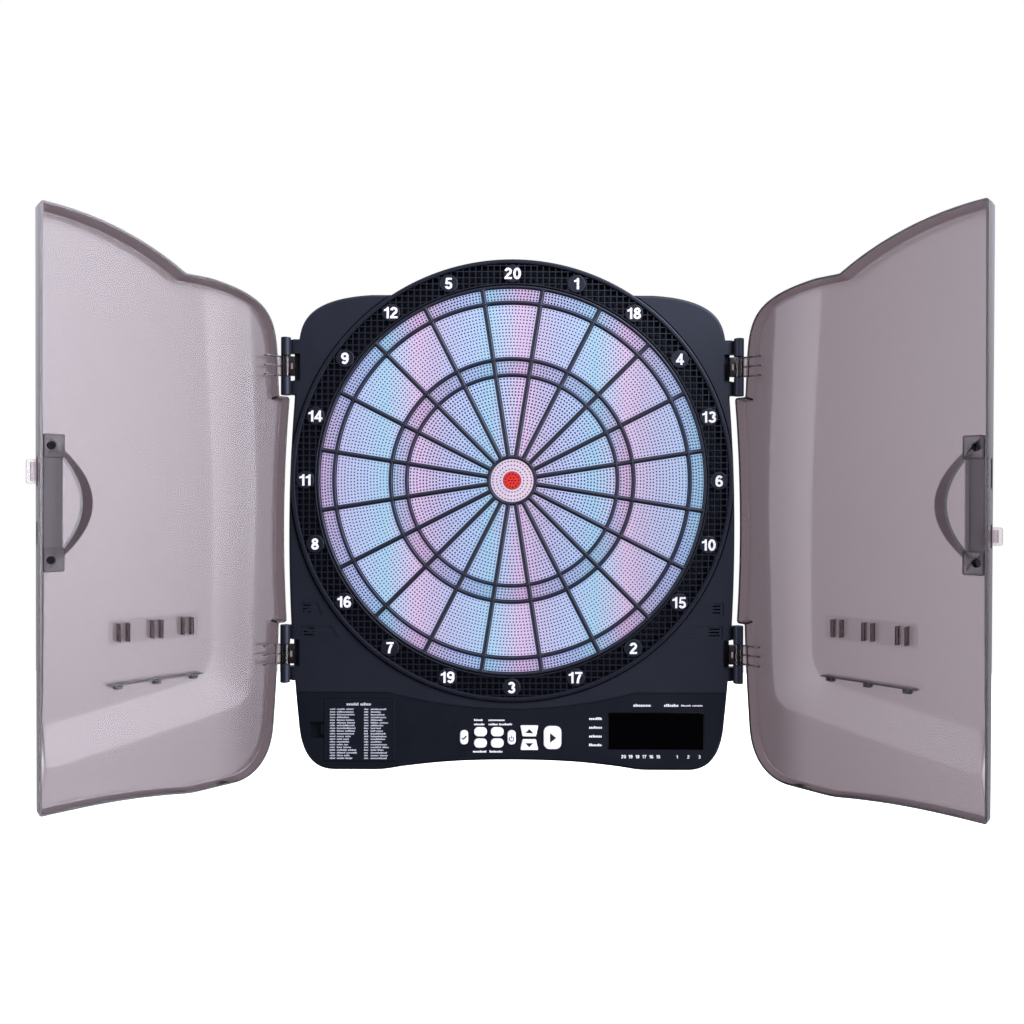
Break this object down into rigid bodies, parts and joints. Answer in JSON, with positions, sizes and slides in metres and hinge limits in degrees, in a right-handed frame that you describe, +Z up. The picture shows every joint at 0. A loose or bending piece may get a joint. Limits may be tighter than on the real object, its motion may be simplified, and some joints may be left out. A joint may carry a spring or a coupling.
{
  "type": "electronic dartboard",
  "caption": "Wall-hung electronic soft-tip dartboard with a lit segmented target, number ring, control panel, and two hinged smoked doors that carry dart clips.",
  "frame": {"origin": "on the bull's axis, on the back face of the rear cover, which lies against the wall", "axes": "+X to the player's right, +Y back into the wall, +Z up"},
  "size_m": [0.8132, 0.2224, 0.528],
  "materials": {
    "casing_black": "fine matte moulded",
    "ring_black": "satin moulded",
    "segment_plastic": "translucent, lit from behind",
    "bull_red": "translucent, lit from behind",
    "button_white": "satin",
    "window_black": "polished",
    "smoked_plastic": "smoked, translucent, polished",
    "cup_frosted": "frosted, translucent",
    "pin_steel": "drawn wire",
    "board_green": "solder mask",
    "membrane_film": "clear film",
    "diffuser_white": "opal",
    "mat_rubber": "matte",
    "speaker_dark": "matte"
  },
  "bodies": {
    "housing": {"front_frame": "casing_black", "rear_cover": "casing_black", "catch_ring": "ring_black", "power_jack": "casing_black", "spider": "ring_black", "sensor_membrane": "membrane_film", "light_diffuser": "diffuser_white", "led_board": "board_green", "control_panel": "casing_black", "display_window": "window_black", "display_board": "board_green", "main_board": "board_green", "button_mat": "mat_rubber", "speaker": "speaker_dark", "left_upper_hinge_pin": "pin_steel", "left_lower_hinge_pin": "pin_steel", "right_upper_hinge_pin": "pin_steel", "right_lower_hinge_pin": "pin_steel"},
    "left_door_assembly": {"left_door": "smoked_plastic", "left_finger_cup": "cup_frosted", "left_latch_tab": "smoked_plastic", "left_dart_clips": "smoked_plastic", "left_dart_rest": "smoked_plastic"},
    "right_door_assembly": {"right_door": "smoked_plastic", "right_finger_cup": "cup_frosted", "right_latch_tab": "smoked_plastic", "right_dart_clips": "smoked_plastic", "right_dart_rest": "smoked_plastic"},
    "flap": {"game_list_flap": "casing_black"},
    "enter_button_body": {"enter_button": "button_white"},
    "pill_button_1_body": {"pill_button_1": "button_white"},
    "pill_button_2_body": {"pill_button_2": "button_white"},
    "pill_button_3_body": {"pill_button_3": "button_white"},
    "pill_button_4_body": {"pill_button_4": "button_white"},
    "power_button_body": {"power_button": "button_white"},
    "up_button_body": {"up_button": "button_white"},
    "down_button_body": {"down_button": "button_white"},
    "play_button_body": {"play_button": "button_white"},
    "sector_20_body": {"sector_20": "segment_plastic"},
    "sector_01_body": {"sector_01": "segment_plastic"},
    "sector_18_body": {"sector_18": "segment_plastic"},
    "sector_04_body": {"sector_04": "segment_plastic"},
    "sector_13_body": {"sector_13": "segment_plastic"},
    "sector_06_body": {"sector_06": "segment_plastic"},
    "sector_10_body": {"sector_10": "segment_plastic"},
    "sector_15_body": {"sector_15": "segment_plastic"},
    "sector_02_body": {"sector_02": "segment_plastic"},
    "sector_17_body": {"sector_17": "segment_plastic"},
    "sector_03_body": {"sector_03": "segment_plastic"},
    "sector_19_body": {"sector_19": "segment_plastic"},
    "sector_07_body": {"sector_07": "segment_plastic"},
    "sector_16_body": {"sector_16": "segment_plastic"},
    "sector_08_body": {"sector_08": "segment_plastic"},
    "sector_11_body": {"sector_11": "segment_plastic"},
    "sector_14_body": {"sector_14": "segment_plastic"},
    "sector_09_body": {"sector_09": "segment_plastic"},
    "sector_12_body": {"sector_12": "segment_plastic"},
    "sector_05_body": {"sector_05": "segment_plastic"},
    "outer_bull_body": {"outer_bull": "segment_plastic"},
    "inner_bull_body": {"inner_bull": "bull_red"}
  },
  "joints": [
    {"name": "left_door_swing", "type": "hinge", "parent": "housing", "child": "left_door_assembly", "pos_m": [-0.232, -0.05, 0], "axis": [0, 0, -1], "range_deg": [-136, 4]},
    {"name": "right_door_swing", "type": "hinge", "parent": "housing", "child": "right_door_assembly", "pos_m": [0.232, -0.05, 0], "axis": [0, 0, 1], "range_deg": [-132, 8]},
    {"name": "game_list_flap_tilt", "type": "hinge", "parent": "housing", "child": "flap", "pos_m": [-0.1196, -0.0465, -0.2569], "axis": [0, 0, 1], "range_deg": [0, 90]},
    {"name": "enter_button_press", "type": "slide", "parent": "housing", "child": "enter_button_body", "axis": [0, 1, 0], "range_m": [0, 0.0012], "stiffness_N_per_m": 500, "springref_m": -0.001},
    {"name": "pill_button_1_press", "type": "slide", "parent": "housing", "child": "pill_button_1_body", "axis": [0, 1, 0], "range_m": [0, 0.0012], "stiffness_N_per_m": 500, "springref_m": -0.001},
    {"name": "pill_button_2_press", "type": "slide", "parent": "housing", "child": "pill_button_2_body", "axis": [0, 1, 0], "range_m": [0, 0.0012], "stiffness_N_per_m": 500, "springref_m": -0.001},
    {"name": "pill_button_3_press", "type": "slide", "parent": "housing", "child": "pill_button_3_body", "axis": [0, 1, 0], "range_m": [0, 0.0012], "stiffness_N_per_m": 500, "springref_m": -0.001},
    {"name": "pill_button_4_press", "type": "slide", "parent": "housing", "child": "pill_button_4_body", "axis": [0, 1, 0], "range_m": [0, 0.0012], "stiffness_N_per_m": 500, "springref_m": -0.001},
    {"name": "power_button_press", "type": "slide", "parent": "housing", "child": "power_button_body", "axis": [0, 1, 0], "range_m": [0, 0.0012], "stiffness_N_per_m": 500, "springref_m": -0.001},
    {"name": "up_button_press", "type": "slide", "parent": "housing", "child": "up_button_body", "axis": [0, 1, 0], "range_m": [0, 0.0012], "stiffness_N_per_m": 500, "springref_m": -0.001},
    {"name": "down_button_press", "type": "slide", "parent": "housing", "child": "down_button_body", "axis": [0, 1, 0], "range_m": [0, 0.0012], "stiffness_N_per_m": 500, "springref_m": -0.001},
    {"name": "play_button_press", "type": "slide", "parent": "housing", "child": "play_button_body", "axis": [0, 1, 0], "range_m": [0, 0.0012], "stiffness_N_per_m": 500, "springref_m": -0.001},
    {"name": "sector_20_press", "type": "slide", "parent": "housing", "child": "sector_20_body", "axis": [0, 1, 0], "range_m": [0, 0.001], "stiffness_N_per_m": 2000, "springref_m": -0.0008},
    {"name": "sector_01_press", "type": "slide", "parent": "housing", "child": "sector_01_body", "axis": [0, 1, 0], "range_m": [0, 0.001], "stiffness_N_per_m": 2000, "springref_m": -0.0008},
    {"name": "sector_18_press", "type": "slide", "parent": "housing", "child": "sector_18_body", "axis": [0, 1, 0], "range_m": [0, 0.001], "stiffness_N_per_m": 2000, "springref_m": -0.0008},
    {"name": "sector_04_press", "type": "slide", "parent": "housing", "child": "sector_04_body", "axis": [0, 1, 0], "range_m": [0, 0.001], "stiffness_N_per_m": 2000, "springref_m": -0.0008},
    {"name": "sector_13_press", "type": "slide", "parent": "housing", "child": "sector_13_body", "axis": [0, 1, 0], "range_m": [0, 0.001], "stiffness_N_per_m": 2000, "springref_m": -0.0008},
    {"name": "sector_06_press", "type": "slide", "parent": "housing", "child": "sector_06_body", "axis": [0, 1, 0], "range_m": [0, 0.001], "stiffness_N_per_m": 2000, "springref_m": -0.0008},
    {"name": "sector_10_press", "type": "slide", "parent": "housing", "child": "sector_10_body", "axis": [0, 1, 0], "range_m": [0, 0.001], "stiffness_N_per_m": 2000, "springref_m": -0.0008},
    {"name": "sector_15_press", "type": "slide", "parent": "housing", "child": "sector_15_body", "axis": [0, 1, 0], "range_m": [0, 0.001], "stiffness_N_per_m": 2000, "springref_m": -0.0008},
    {"name": "sector_02_press", "type": "slide", "parent": "housing", "child": "sector_02_body", "axis": [0, 1, 0], "range_m": [0, 0.001], "stiffness_N_per_m": 2000, "springref_m": -0.0008},
    {"name": "sector_17_press", "type": "slide", "parent": "housing", "child": "sector_17_body", "axis": [0, 1, 0], "range_m": [0, 0.001], "stiffness_N_per_m": 2000, "springref_m": -0.0008},
    {"name": "sector_03_press", "type": "slide", "parent": "housing", "child": "sector_03_body", "axis": [0, 1, 0], "range_m": [0, 0.001], "stiffness_N_per_m": 2000, "springref_m": -0.0008},
    {"name": "sector_19_press", "type": "slide", "parent": "housing", "child": "sector_19_body", "axis": [0, 1, 0], "range_m": [0, 0.001], "stiffness_N_per_m": 2000, "springref_m": -0.0008},
    {"name": "sector_07_press", "type": "slide", "parent": "housing", "child": "sector_07_body", "axis": [0, 1, 0], "range_m": [0, 0.001], "stiffness_N_per_m": 2000, "springref_m": -0.0008},
    {"name": "sector_16_press", "type": "slide", "parent": "housing", "child": "sector_16_body", "axis": [0, 1, 0], "range_m": [0, 0.001], "stiffness_N_per_m": 2000, "springref_m": -0.0008},
    {"name": "sector_08_press", "type": "slide", "parent": "housing", "child": "sector_08_body", "axis": [0, 1, 0], "range_m": [0, 0.001], "stiffness_N_per_m": 2000, "springref_m": -0.0008},
    {"name": "sector_11_press", "type": "slide", "parent": "housing", "child": "sector_11_body", "axis": [0, 1, 0], "range_m": [0, 0.001], "stiffness_N_per_m": 2000, "springref_m": -0.0008},
    {"name": "sector_14_press", "type": "slide", "parent": "housing", "child": "sector_14_body", "axis": [0, 1, 0], "range_m": [0, 0.001], "stiffness_N_per_m": 2000, "springref_m": -0.0008},
    {"name": "sector_09_press", "type": "slide", "parent": "housing", "child": "sector_09_body", "axis": [0, 1, 0], "range_m": [0, 0.001], "stiffness_N_per_m": 2000, "springref_m": -0.0008},
    {"name": "sector_12_press", "type": "slide", "parent": "housing", "child": "sector_12_body", "axis": [0, 1, 0], "range_m": [0, 0.001], "stiffness_N_per_m": 2000, "springref_m": -0.0008},
    {"name": "sector_05_press", "type": "slide", "parent": "housing", "child": "sector_05_body", "axis": [0, 1, 0], "range_m": [0, 0.001], "stiffness_N_per_m": 2000, "springref_m": -0.0008},
    {"name": "outer_bull_press", "type": "slide", "parent": "housing", "child": "outer_bull_body", "axis": [0, 1, 0], "range_m": [0, 0.001], "stiffness_N_per_m": 2000, "springref_m": -0.0008},
    {"name": "inner_bull_press", "type": "slide", "parent": "housing", "child": "inner_bull_body", "axis": [0, 1, 0], "range_m": [0, 0.001], "stiffness_N_per_m": 2000, "springref_m": -0.0008}
  ]
}
